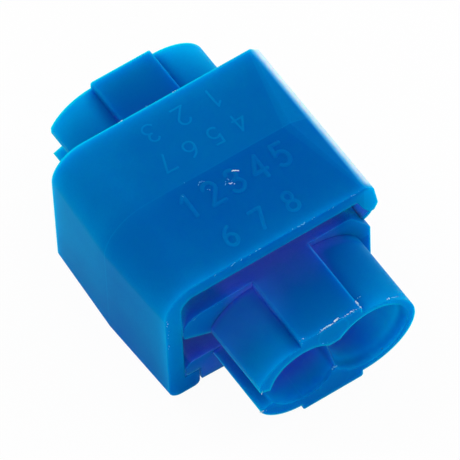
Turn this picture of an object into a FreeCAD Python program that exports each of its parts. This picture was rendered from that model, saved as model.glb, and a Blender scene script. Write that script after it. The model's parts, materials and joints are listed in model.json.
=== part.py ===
import FreeCAD, Part
import math
import os

# T-tap wire connector (insulation-displacement run and tap splice), cover closed.
#
# The wires run along Y. X goes across, from the open mouth of the run channel
# on the left to the hinge of the cover on the right. Z is up. The drawing
# origin is at mid length, midway between the flat plates of the stubs and at
# the height of the wire axes. All pieces are moved together at the end, so that
# the origin of the finished part is the middle of its footprint.
#
# The housing, hinge and cover are one polypropylene moulding on the real
# connector. They are separate solids here because the cover swings.

# Lengths along the wires
STUB_END = 13.0
RUN_FACE = 7.05
TAP_FACE = 6.6
COVER_END = 7.05
HINGE_END = 6.05

# Stub section: two lobes with a raised plate above and below
LOBE_HEIGHT = 3.58
RUN_LOBE_X = -2.3
RUN_LOBE_WIDTH = 3.95
TAP_LOBE_X = 2.6
TAP_LOBE_WIDTH = 4.2
PLATE_HALF_WIDTH = 2.47
PLATE_HEIGHT = 4.2
PLATE_CORNER = 0.2
RUN_SIDE_X = -5.87

# Wire channels
RUN_BORE_X = -2.3
RUN_BORE_R = 2.8
TAP_BORE_X = 3.1
TAP_BORE_R = 2.7
TAP_MOUTH_R = 3.1
TAP_MOUTH_DEPTH = 1.3
TAP_STOP = 4.6
TAP_STOP_WALL = 1.4
WEB_TIP_Z = 1.9

# Lips of the C-shaped run channel and the jaws that lead a wire into it
UPPER_LIP_INNER_Z = 0.6
UPPER_LIP_OUTER_Z = 0.95
LOWER_LIP_Z = -1.25
LOWER_LIP_CHAMFER = 0.35
JAW_END_X = -8.05
UPPER_JAW_TIP_Z = 1.95
JAW_TIP_RADIUS = 0.3
LOWER_JAW_TIP_RADIUS = 0.75
JAW_TOP_Z = 3.9
JAW_TOP_RADIUS = 1.3
JAW_BOTTOM_Z = -4.0

# Hinge side of the housing
HOUSING_RIGHT_X = 7.52
SHOULDER_X = 5.95
SHOULDER_Z = 1.95
SHOULDER_ROUND = 0.5
HOUSING_CORNER = 0.8

# Cover
COVER_TOP_INNER_Z = 6.4
COVER_TOP_END_Z = 7.6
COVER_RIDGE = 0.55
COVER_SIDE_WALL = 1.3
COVER_SIDE_RIDGE = 0.3
COVER_SIDE_GAP = 0.1
COVER_CORNER_R = 2.6
COVER_RIDGE_CORNER_R = 3.5
COVER_INNER_CORNER_R = 1.15
COVER_SLOPE_X = 5.5
COVER_RIGHT_X = 6.9

# Rolled bead where the cover turns down into the hinge
BEAD_X = 7.9
BEAD_SHOULDER_Z = 7.0
BEAD_SHOULDER_X = 7.58
BEAD_WIDEST_Z = 5.1
BEAD_FOOT_X = 7.21
BEAD_FOOT_Z = 4.49
BEAD_INNER_X = 6.75
BEAD_INNER_Z = 5.15
BEAD_ROOT_X = 6.18
BEAD_ROUND = 0.5
BEAD_EASE = 0.2

# Latch hook under the lower jaw
HOOK_TIP_X = -6.95
HOOK_GAP = 0.15
HOOK_HEIGHT = 1.7
HOOK_RIDGE = 0.12
HOOK_CORNER = 1.0
HOOK_TIP_RADIUS = 0.5
LOWER_JAW_THICKNESS = 1.35

# Living hinge
HINGE_THICKNESS = 0.38
HINGE_BULGE = 0.7
HINGE_FOOT_INSET = 0.3

# Contact: a folded brass channel with two slotted blades
SHEET = 0.8
BLADE_PITCH = 3.2
BLADE_OVERLAP = 0.2
BLADE_SHOULDER_Z = 3.3
BRIDGE_INSET = 0.9
BLADE_TIP_Z = -3.0
CONTACT_TOP_Z = 4.3
WIRE_SLOT = 0.9
WIRE_SLOT_TOP_Z = 1.2
WIRE_SLOT_LEAD = 0.75
BLADE_CORNER = 0.6
CONTACT_CLEARANCE = 0.1
SLOT_FLOOR_CLEARANCE = 0.25
WIRE_SLOT_END_R = 0.4
FOLD_R = 0.6

# How far cutting bodies reach past what they cut
CUT_EXTRA = 1.0


def point(x, z, y=0.0):
    return FreeCAD.Vector(x, y, z)


def rounded_wire(corners, y):
    """Closed outline in the plane at y; each corner is x, z and a radius, or x and z."""
    arcs = {}
    starts = []
    ends = []
    count = len(corners)
    for index, corner in enumerate(corners):
        here = point(corner[0], corner[1], y)
        radius = corner[2] if len(corner) > 2 else 0.0
        before = point(corners[index - 1][0], corners[index - 1][1], y)
        after = point(corners[(index + 1) % count][0], corners[(index + 1) % count][1], y)
        back = (before - here).normalize()
        ahead = (after - here).normalize()
        if radius == 0.0:
            starts.append(here)
            ends.append(here)
            continue
        half_turn = math.acos(max(-1.0, min(1.0, back.dot(ahead)))) / 2.0
        tangent = radius / math.tan(half_turn)
        middle = (back + ahead).normalize() * (radius / math.sin(half_turn) - radius)
        start = here + back * tangent
        end = here + ahead * tangent
        arcs[index] = Part.Arc(start, here + middle, end).toShape()
        starts.append(start)
        ends.append(end)
    outline = []
    for index in range(count):
        if index in arcs:
            outline.append(arcs[index])
        following = (index + 1) % count
        outline.append(Part.LineSegment(ends[index], starts[following]).toShape())
    return Part.Wire(outline)


def prism(corners, y_from, y_to):
    """Straight bar of one outline from y_from to y_to."""
    face = Part.Face(rounded_wire(corners, y_from))
    return face.extrude(FreeCAD.Vector(0, y_to - y_from, 0))


def box(x_from, x_to, y_from, y_to, z_from, z_to):
    corner = FreeCAD.Vector(x_from, y_from, z_from)
    return Part.makeBox(x_to - x_from, y_to - y_from, z_to - z_from, corner)


def round_bar(x, radius, y_from, y_to):
    """Cylinder along the wires, at the height of the wire axes."""
    return Part.makeCylinder(radius, y_to - y_from, point(x, 0, y_from), FreeCAD.Vector(0, 1, 0))


def lobe(x, half_width, half_height, half_length):
    """Oval bar along the wires, centred on x."""
    wide = half_width >= half_height
    major = max(half_width, half_height)
    minor = min(half_width, half_height)
    ellipse = Part.Ellipse(FreeCAD.Vector(0, 0, 0), major, minor)
    face = Part.Face(Part.Wire(ellipse.toShape()))
    solid = face.extrude(FreeCAD.Vector(0, 0, 2 * half_length))
    if not wide:
        solid.rotate(FreeCAD.Vector(0, 0, 0), FreeCAD.Vector(0, 0, 1), 90)
    solid.rotate(FreeCAD.Vector(0, 0, 0), FreeCAD.Vector(1, 0, 0), 90)
    solid.translate(FreeCAD.Vector(x, half_length, 0))
    return solid


def stub_bar():
    """Both stubs as one bar: two lobes, the web between them and the plates."""
    run_lobe = lobe(RUN_LOBE_X, RUN_LOBE_WIDTH, LOBE_HEIGHT, STUB_END)
    tap_lobe = lobe(TAP_LOBE_X, TAP_LOBE_WIDTH, LOBE_HEIGHT, STUB_END)
    web = box(RUN_LOBE_X, TAP_LOBE_X, -STUB_END, STUB_END, -LOBE_HEIGHT, LOBE_HEIGHT)
    plates = prism(
        [
            (-PLATE_HALF_WIDTH, -PLATE_HEIGHT, PLATE_CORNER),
            (PLATE_HALF_WIDTH, -PLATE_HEIGHT, PLATE_CORNER),
            (PLATE_HALF_WIDTH, PLATE_HEIGHT, PLATE_CORNER),
            (-PLATE_HALF_WIDTH, PLATE_HEIGHT, PLATE_CORNER),
        ],
        -STUB_END,
        STUB_END,
    )
    bar = run_lobe.fuse([tap_lobe, web, plates])
    outside = RUN_LOBE_X - RUN_LOBE_WIDTH - CUT_EXTRA
    beyond = STUB_END + CUT_EXTRA
    side_cut = box(outside, RUN_SIDE_X, -beyond, beyond, -PLATE_HEIGHT, PLATE_HEIGHT)
    return bar.cut(side_cut)


def hook_top_z():
    return LOWER_LIP_Z - LOWER_JAW_THICKNESS - HOOK_GAP


def run_block():
    """Left half of the block, with the two jaws and the notch for the latch hook."""
    notch_top = LOWER_LIP_Z - LOWER_JAW_THICKNESS
    notch_side = HOOK_TIP_X + HOOK_GAP
    upper = prism(
        [
            (0, UPPER_LIP_INNER_Z),
            (0, PLATE_HEIGHT),
            (-PLATE_HALF_WIDTH, PLATE_HEIGHT),
            (JAW_END_X, JAW_TOP_Z, JAW_TOP_RADIUS),
            (JAW_END_X, UPPER_JAW_TIP_Z, JAW_TIP_RADIUS),
            (RUN_SIDE_X, UPPER_LIP_OUTER_Z),
            (RUN_BORE_X - RUN_BORE_R, UPPER_LIP_INNER_Z),
        ],
        -RUN_FACE,
        RUN_FACE,
    )
    lower = prism(
        [
            (0, LOWER_LIP_Z),
            (JAW_END_X, LOWER_LIP_Z, LOWER_JAW_TIP_RADIUS),
            (JAW_END_X, notch_top, JAW_TIP_RADIUS),
            (notch_side, notch_top),
            (notch_side, JAW_BOTTOM_Z),
            (-PLATE_HALF_WIDTH, -PLATE_HEIGHT),
            (0, -PLATE_HEIGHT),
        ],
        -RUN_FACE,
        RUN_FACE,
    )
    spine = box(RUN_BORE_X, 0, -RUN_FACE, RUN_FACE, -PLATE_HEIGHT, PLATE_HEIGHT)
    return upper.fuse([lower, spine])


def tap_block():
    """Right half of the block, with the sloped shoulder under the hinge."""
    return prism(
        [
            (0, -PLATE_HEIGHT),
            (HOUSING_RIGHT_X, -PLATE_HEIGHT, HOUSING_CORNER),
            (HOUSING_RIGHT_X, SHOULDER_Z, SHOULDER_ROUND),
            (SHOULDER_X, PLATE_HEIGHT),
            (0, PLATE_HEIGHT),
        ],
        -TAP_FACE,
        TAP_FACE,
    )


def run_channel():
    """Room for the run wire: a bore open along its left side."""
    beyond = STUB_END + CUT_EXTRA
    bore = round_bar(RUN_BORE_X, RUN_BORE_R, -beyond, beyond)
    lip_inner = RUN_BORE_X - RUN_BORE_R
    slit = prism(
        [
            (RUN_BORE_X, UPPER_LIP_INNER_Z),
            (lip_inner, UPPER_LIP_INNER_Z),
            (RUN_SIDE_X, UPPER_LIP_OUTER_Z),
            (RUN_SIDE_X, LOWER_LIP_Z),
            (RUN_BORE_X, LOWER_LIP_Z),
        ],
        -beyond,
        beyond,
    )
    lip_chamfer = [
        (lip_inner, LOWER_LIP_Z),
        (RUN_SIDE_X, LOWER_LIP_Z),
        (RUN_SIDE_X, LOWER_LIP_Z - LOWER_LIP_CHAMFER),
    ]
    near = prism(lip_chamfer, -beyond, -RUN_FACE)
    far = prism(lip_chamfer, RUN_FACE, beyond)
    return bore.fuse([slit, near, far])


def tap_channel():
    """Blind bore for the tap wire, and the pocket that cores the far stub."""
    pieces = []
    for mouth, inner in ((-STUB_END, TAP_STOP), (STUB_END, TAP_STOP + TAP_STOP_WALL)):
        towards = 1.0 if inner > mouth else -1.0
        axis = FreeCAD.Vector(0, towards, 0)
        depth = abs(inner - mouth)
        pieces.append(Part.makeCylinder(TAP_BORE_R, depth, point(TAP_BORE_X, 0, mouth), axis))
        lead_in = Part.makeCone(
            TAP_MOUTH_R, TAP_BORE_R, TAP_MOUTH_DEPTH, point(TAP_BORE_X, 0, mouth), axis
        )
        pieces.append(lead_in)
        web_left = RUN_BORE_X + math.sqrt(RUN_BORE_R**2 - WEB_TIP_Z**2)
        web_right = TAP_BORE_X - math.sqrt(TAP_MOUTH_R**2 - WEB_TIP_Z**2)
        y_low = min(mouth, mouth + towards * TAP_MOUTH_DEPTH)
        pieces.append(box(web_left, web_right, y_low, y_low + TAP_MOUTH_DEPTH, 0, WEB_TIP_Z))
    return pieces[0].fuse(pieces[1:])


def blade_left_x():
    return RUN_BORE_X - RUN_BORE_R - BLADE_OVERLAP


def blade_right_x():
    return TAP_BORE_X + TAP_BORE_R + BLADE_OVERLAP


def contact_room():
    """Two blade slots down from the top of the block, and a recess for the bridge."""
    left = blade_left_x() - CONTACT_CLEARANCE
    right = blade_right_x() + CONTACT_CLEARANCE
    half_slot = SHEET / 2 + CONTACT_CLEARANCE
    floor = BLADE_TIP_Z - SLOT_FLOOR_CLEARANCE
    above = CONTACT_TOP_Z + CUT_EXTRA
    slots = []
    for side in (-1, 1):
        middle = side * BLADE_PITCH / 2
        slots.append(box(left, right, middle - half_slot, middle + half_slot, floor, above))
    reach = BLADE_PITCH / 2 + half_slot
    recess_floor = CONTACT_TOP_Z - SHEET - CONTACT_CLEARANCE
    recess = box(
        left + BRIDGE_INSET, right - BRIDGE_INSET, -reach, reach, recess_floor, above
    )
    return recess.fuse(slots)


def make_housing():
    solid = stub_bar().fuse([run_block(), tap_block()])
    solid = solid.cut(run_channel())
    solid = solid.cut(tap_channel())
    solid = solid.cut(contact_room())
    return solid.removeSplitter()


def cover_left_x():
    return JAW_END_X - COVER_SIDE_GAP - COVER_SIDE_WALL


def cover_outline(y, top_rise, side_rise, hook_rise, corner_r):
    """Outer outline of the cover at y, closed through the hollow under its top."""
    left = cover_left_x() - side_rise
    top = COVER_TOP_END_Z + top_rise
    hook_bottom = hook_top_z() - HOOK_HEIGHT - hook_rise
    return rounded_wire(
        [
            (BEAD_X + CUT_EXTRA, BEAD_FOOT_Z - CUT_EXTRA),
            (BEAD_X + CUT_EXTRA, top),
            (left, top, corner_r),
            (left, hook_bottom, HOOK_CORNER),
            (HOOK_TIP_X, hook_bottom, HOOK_TIP_RADIUS),
            (HOOK_TIP_X, hook_top_z(), HOOK_GAP),
            (JAW_END_X, hook_top_z()),
        ],
        y,
    )


def cover_blank():
    """Cover without its hollow: it narrows from mid length to both ends."""
    near = cover_outline(-COVER_END, 0, 0, 0, COVER_CORNER_R)
    middle = cover_outline(0, COVER_RIDGE, COVER_SIDE_RIDGE, HOOK_RIDGE, COVER_RIDGE_CORNER_R)
    far = cover_outline(COVER_END, 0, 0, 0, COVER_CORNER_R)
    return Part.makeLoft([near, middle], True, True).fuse(Part.makeLoft([middle, far], True, True))


def hinge_side():
    """Everything that the slope and the rolled bead leave of the cover."""
    ridge_top = COVER_TOP_END_Z + COVER_RIDGE
    outside = cover_left_x() - COVER_SIDE_RIDGE - CUT_EXTRA
    below = hook_top_z() - HOOK_HEIGHT - HOOK_RIDGE - CUT_EXTRA
    return prism(
        [
            (outside, ridge_top + CUT_EXTRA),
            (outside, below),
            (BEAD_INNER_X, below),
            (BEAD_INNER_X, BEAD_INNER_Z),
            (BEAD_FOOT_X, BEAD_FOOT_Z),
            (BEAD_FOOT_X + HINGE_THICKNESS, BEAD_FOOT_Z, BEAD_EASE),
            (BEAD_X, BEAD_WIDEST_Z, BEAD_ROUND),
            (BEAD_SHOULDER_X, BEAD_SHOULDER_Z, BEAD_EASE),
            (COVER_RIGHT_X, COVER_TOP_END_Z, BEAD_EASE),
            (COVER_SLOPE_X, ridge_top),
            (COVER_SLOPE_X, ridge_top + CUT_EXTRA),
        ],
        -COVER_END,
        COVER_END,
    )


def cover_hollow():
    """Room under the cover for the block, open at both ends."""
    inner_left = JAW_END_X - COVER_SIDE_GAP
    beyond = COVER_END + CUT_EXTRA
    below = hook_top_z() - HOOK_HEIGHT - HOOK_RIDGE - CUT_EXTRA
    return prism(
        [
            (inner_left, hook_top_z()),
            (inner_left, COVER_TOP_INNER_Z, COVER_INNER_CORNER_R),
            (BEAD_ROOT_X, COVER_TOP_INNER_Z),
            (BEAD_INNER_X, BEAD_INNER_Z),
            (BEAD_INNER_X, below),
            (HOOK_TIP_X, below),
            (HOOK_TIP_X, hook_top_z()),
        ],
        -beyond,
        beyond,
    )


def latch_cut():
    """Space below the jaw, where the flexing latch parts from the stiff cover."""
    beyond = COVER_END + CUT_EXTRA
    below = hook_top_z() - HOOK_HEIGHT - HOOK_RIDGE - CUT_EXTRA
    outside = cover_left_x() - COVER_SIDE_RIDGE - CUT_EXTRA
    return box(outside, HOOK_TIP_X + CUT_EXTRA, -beyond, beyond, below, hook_top_z())


def make_cover_and_latch():
    whole = cover_blank().common(hinge_side()).cut(cover_hollow())
    cover = whole.cut(latch_cut())
    latch = whole.common(latch_cut())
    return cover, latch


def hinge_reach_x():
    return HOUSING_RIGHT_X + HINGE_BULGE


def hinge_edge(reach_x, foot, head):
    """Arc of the hinge strip's section: from the shoulder, out to reach_x, up to the bead."""
    widest = point(reach_x, (foot.z + head.z) / 2)
    return Part.Arc(foot, widest, head).toShape()


def make_hinge():
    """Thin strip that loops from the shoulder of the block up to the foot of the bead."""
    slope = point(HOUSING_RIGHT_X - SHOULDER_X, SHOULDER_Z - PLATE_HEIGHT).normalize()
    outer_foot = point(HOUSING_RIGHT_X, SHOULDER_Z) - slope * HINGE_FOOT_INSET
    inner_foot = outer_foot - slope * HINGE_THICKNESS
    outer_head = point(BEAD_FOOT_X + HINGE_THICKNESS, BEAD_FOOT_Z)
    inner_head = point(BEAD_FOOT_X, BEAD_FOOT_Z)
    edges = [
        hinge_edge(hinge_reach_x(), outer_foot, outer_head),
        Part.LineSegment(outer_head, inner_head).toShape(),
        hinge_edge(hinge_reach_x() - HINGE_THICKNESS, inner_foot, inner_head),
        Part.LineSegment(inner_foot, outer_foot).toShape(),
    ]
    face = Part.Face(Part.Wire(Part.__sortEdges__(edges)))
    face.translate(FreeCAD.Vector(0, -HINGE_END, 0))
    return face.extrude(FreeCAD.Vector(0, 2 * HINGE_END, 0))


def blade():
    """One slotted blade of the contact, in the plane at y = 0."""
    left = blade_left_x()
    right = blade_right_x()
    outline = [
        (left + BRIDGE_INSET, CONTACT_TOP_Z),
        (left, BLADE_SHOULDER_Z),
        (left, BLADE_TIP_Z, BLADE_CORNER),
    ]
    half_slot = WIRE_SLOT / 2
    for x in (RUN_BORE_X, TAP_BORE_X):
        outline.append((x - half_slot - WIRE_SLOT_LEAD, BLADE_TIP_Z))
        outline.append((x - half_slot, BLADE_TIP_Z + WIRE_SLOT_LEAD))
        outline.append((x - half_slot, WIRE_SLOT_TOP_Z, WIRE_SLOT_END_R))
        outline.append((x + half_slot, WIRE_SLOT_TOP_Z, WIRE_SLOT_END_R))
        outline.append((x + half_slot, BLADE_TIP_Z + WIRE_SLOT_LEAD))
        outline.append((x + half_slot + WIRE_SLOT_LEAD, BLADE_TIP_Z))
    outline.append((right, BLADE_TIP_Z, BLADE_CORNER))
    outline.append((right, BLADE_SHOULDER_Z))
    outline.append((right - BRIDGE_INSET, CONTACT_TOP_Z))
    return prism(outline, -SHEET / 2, SHEET / 2)


def make_contact():
    """Two blades joined along their tops by the folded bridge."""
    near = blade()
    near.translate(FreeCAD.Vector(0, -BLADE_PITCH / 2, 0))
    far = blade()
    far.translate(FreeCAD.Vector(0, BLADE_PITCH / 2, 0))
    reach = BLADE_PITCH / 2 + SHEET / 2
    left = blade_left_x() + BRIDGE_INSET
    right = blade_right_x() - BRIDGE_INSET
    bridge = box(left, right, -reach, reach, CONTACT_TOP_Z - SHEET, CONTACT_TOP_Z)
    contact = bridge.fuse([near, far]).removeSplitter()
    folds = []
    for edge in contact.Edges:
        middle = edge.CenterOfMass
        on_top = abs(middle.z - CONTACT_TOP_Z) < 0.001
        at_side = abs(abs(middle.y) - reach) < 0.001
        if on_top and at_side:
            folds.append(edge)
    return contact.makeFillet(FOLD_R, folds)


def footprint_shift():
    """Move from the drawing origin to the middle of the footprint, on the ground."""
    left = cover_left_x() - COVER_SIDE_RIDGE
    right = max(BEAD_X, hinge_reach_x())
    lowest = hook_top_z() - HOOK_HEIGHT - HOOK_RIDGE
    return FreeCAD.Vector(-(left + right) / 2, 0, -lowest)


def main():
    os.makedirs("parts", exist_ok=True)
    cover, latch = make_cover_and_latch()
    pieces = {
        "housing": make_housing(),
        "cover": cover,
        "cover_latch": latch,
        "living_hinge": make_hinge(),
        "contact": make_contact(),
    }
    shift = footprint_shift()
    for name, shape in pieces.items():
        shape.translate(shift)
        shape.exportStep("parts/" + name + ".step")
        size = shape.BoundBox
        print(
            f"{name}: solids {len(shape.Solids)} valid {shape.isValid()} volume {shape.Volume:.1f} "
            f"x {size.XMin:.2f}..{size.XMax:.2f} y {size.YMin:.2f}..{size.YMax:.2f} "
            f"z {size.ZMin:.2f}..{size.ZMax:.2f}"
        )
    print("shift from drawing origin", shift)


main()
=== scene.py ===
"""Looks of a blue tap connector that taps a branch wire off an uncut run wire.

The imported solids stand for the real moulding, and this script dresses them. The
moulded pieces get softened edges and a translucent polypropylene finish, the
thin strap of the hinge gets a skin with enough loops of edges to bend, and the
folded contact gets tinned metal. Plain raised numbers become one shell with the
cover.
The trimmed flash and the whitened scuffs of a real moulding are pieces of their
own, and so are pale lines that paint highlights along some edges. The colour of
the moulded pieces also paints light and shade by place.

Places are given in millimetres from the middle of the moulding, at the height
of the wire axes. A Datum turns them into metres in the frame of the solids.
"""

import json
import logging
import math
import random
from collections.abc import Iterator
from contextlib import contextmanager
from dataclasses import dataclass, field
from enum import Enum
from functools import reduce

import bmesh
import bpy
from mathutils import Euler, Matrix, Vector

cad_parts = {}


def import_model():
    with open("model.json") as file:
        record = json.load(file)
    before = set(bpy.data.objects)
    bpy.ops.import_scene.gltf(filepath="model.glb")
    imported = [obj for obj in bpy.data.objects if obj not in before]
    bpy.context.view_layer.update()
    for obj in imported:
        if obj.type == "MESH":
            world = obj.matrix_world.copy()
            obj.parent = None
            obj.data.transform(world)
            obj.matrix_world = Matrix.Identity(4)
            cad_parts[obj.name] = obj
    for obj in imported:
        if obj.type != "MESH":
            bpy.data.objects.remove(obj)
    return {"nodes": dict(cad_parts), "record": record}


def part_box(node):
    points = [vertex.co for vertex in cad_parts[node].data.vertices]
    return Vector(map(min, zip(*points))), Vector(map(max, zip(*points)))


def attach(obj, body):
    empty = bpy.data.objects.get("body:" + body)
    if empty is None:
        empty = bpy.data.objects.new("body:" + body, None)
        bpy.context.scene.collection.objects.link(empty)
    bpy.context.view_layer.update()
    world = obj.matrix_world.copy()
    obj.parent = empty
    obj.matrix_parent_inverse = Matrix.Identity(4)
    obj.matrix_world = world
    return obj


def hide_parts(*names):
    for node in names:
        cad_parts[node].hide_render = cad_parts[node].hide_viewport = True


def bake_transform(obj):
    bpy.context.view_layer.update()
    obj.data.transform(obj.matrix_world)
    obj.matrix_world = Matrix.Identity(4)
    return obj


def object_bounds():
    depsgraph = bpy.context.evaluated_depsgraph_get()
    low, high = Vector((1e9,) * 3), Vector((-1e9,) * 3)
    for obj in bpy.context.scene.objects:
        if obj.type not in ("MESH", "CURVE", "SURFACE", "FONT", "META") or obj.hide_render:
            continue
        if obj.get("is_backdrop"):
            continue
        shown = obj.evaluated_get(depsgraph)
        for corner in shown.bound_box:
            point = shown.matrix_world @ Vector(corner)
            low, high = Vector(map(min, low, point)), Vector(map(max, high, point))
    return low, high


LOG = logging.getLogger("tap_connector")

MM = 0.001
Colour = tuple[float, float, float]
Place = tuple[float, float, float]
Point = tuple[float, float]
Span = tuple[str, float, float]
Socket = bpy.types.NodeSocket
Material = bpy.types.Material
Piece = bpy.types.Object


class Slot(Enum):
    """Material slots of the record that the pieces stand for."""

    PLASTIC = "blue_polypropylene"
    METAL = "tinned_brass"


class Body(Enum):
    """Bodies that the pieces move with."""

    HOUSING = "housing"
    COVER = "cover"


class Facing(Enum):
    """Which way a row of numbers reads."""

    FRONT = 0.0
    BACK = math.pi


def shade(*channels: int) -> Colour:
    """Turns a display colour into a linear one, by the curve that displays use.

    Args:
        channels: Red, green and blue, from 0 to 255.

    Returns:
        The colour with linear channels from 0 to 1.
    """
    values = (channel / 255 for channel in channels)
    return tuple(
        value / 12.92 if value <= 0.04045 else ((value + 0.055) / 1.055) ** 2.4 for value in values
    )


def direction(azimuth: float, elevation: float) -> Vector:
    """Points from the object to a place around it.

    Args:
        azimuth: Angle in degrees, 0 for the side of -Y and 90 for that of +X.
        elevation: Height above the floor in degrees.

    Returns:
        The direction, 1 long.
    """
    side, rise = math.radians(azimuth), math.radians(elevation)
    across = math.cos(rise)
    return Vector((math.sin(side) * across, -math.cos(side) * across, math.sin(rise)))


@dataclass(frozen=True)
class Datum:
    """The middle of the moulding in the frame of the solids, in metres."""

    origin: Vector

    @classmethod
    def from_record(cls, record: dict, run_axis_x: float = -2.3) -> "Datum":
        """Finds the middle of the moulding from the mouth of the run channel.

        Args:
            record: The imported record.
            run_axis_x: Where the run wire lies, in mm from the middle.

        Returns:
            The datum of the moulding.
        """
        mouth = next(mount for mount in record["mounts"] if mount["name"] == "run_channel_near")
        position = mouth["pos_m"]
        return cls(Vector((position[0] - run_axis_x * MM, 0.0, position[2])))

    def at(self, x: float, y: float, z: float) -> Vector:
        """A place given in mm from the middle, in metres in the frame."""
        return self.origin + Vector((x, y, z)) * MM


@dataclass(frozen=True)
class Roof:
    """The two slopes of the cover's top, in mm from the middle of the moulding."""

    ridge_top: float = 8.15
    end_top: float = 7.6
    end: float = 7.05
    hip_x: float = 4.9
    hip_run: float = 0.26

    @property
    def slope(self) -> float:
        """Tilt of each slope, in radians."""
        return math.atan2(self.ridge_top - self.end_top, self.end)

    def height_at(self, y: float) -> float:
        """Height of the top at y."""
        return self.ridge_top - math.tan(self.slope) * abs(y)


class NodeTree:
    """Short calls for nodes, which the finishes, the surroundings and the floor share."""

    SEEN_RAYS = ("Is Camera Ray", "Is Glossy Ray", "Is Transmission Ray")

    def __init__(self, tree: bpy.types.NodeTree) -> None:
        """Empties a node tree to start from."""
        self.nodes, self.links = tree.nodes, tree.links
        self.nodes.clear()

    def feed(self, socket: Socket, value: object) -> None:
        """Gives a socket its value.

        Args:
            socket: The socket.
            value: Another socket to link it to, or a plain value or colour.
        """
        if isinstance(value, Socket):
            self.links.new(value, socket)
        elif isinstance(value, tuple) and socket.type == "RGBA":
            socket.default_value = (*value, 1.0)
        else:
            socket.default_value = value

    def add(self, kind: str, **values: object) -> bpy.types.Node:
        """Adds a node.

        Args:
            kind: Type of the node, without the word that all types start with.
            values: Values or sockets by the names of its inputs, with underscores
                for spaces.

        Returns:
            The node.
        """
        node = self.nodes.new(f"ShaderNode{kind}")
        for name, value in values.items():
            self.feed(node.inputs[name.replace("_", " ")], value)
        return node

    def math(self, operation: str, *values: object, clamp: bool = False) -> Socket:
        """Adds a Math node.

        Args:
            operation: Name of the operation.
            values: Sockets or numbers that it works on.
            clamp: Whether the result is kept from 0 to 1.

        Returns:
            The socket with the result.
        """
        node = self.add("Math")
        node.operation = operation
        node.use_clamp = clamp
        for socket, value in zip(node.inputs, values):
            self.feed(socket, value)
        return node.outputs[0]

    def total(self, *values: object) -> Socket:
        """Adds up two or more sockets or numbers."""
        return reduce(lambda first, second: self.math("ADD", first, second), values)

    def product(self, *values: object) -> Socket:
        """Multiplies two or more sockets or numbers."""
        return reduce(lambda first, second: self.math("MULTIPLY", first, second), values)

    def largest(self, *values: object) -> Socket:
        """Picks the largest of two or more sockets or numbers."""
        return reduce(lambda first, second: self.math("MAXIMUM", first, second), values)

    def seen(self) -> Socket:
        """Adds a socket that is 1 for the camera, also in a reflection or through glass."""
        rays = self.add("LightPath").outputs
        return self.largest(*(rays[name] for name in self.SEEN_RAYS))


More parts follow.
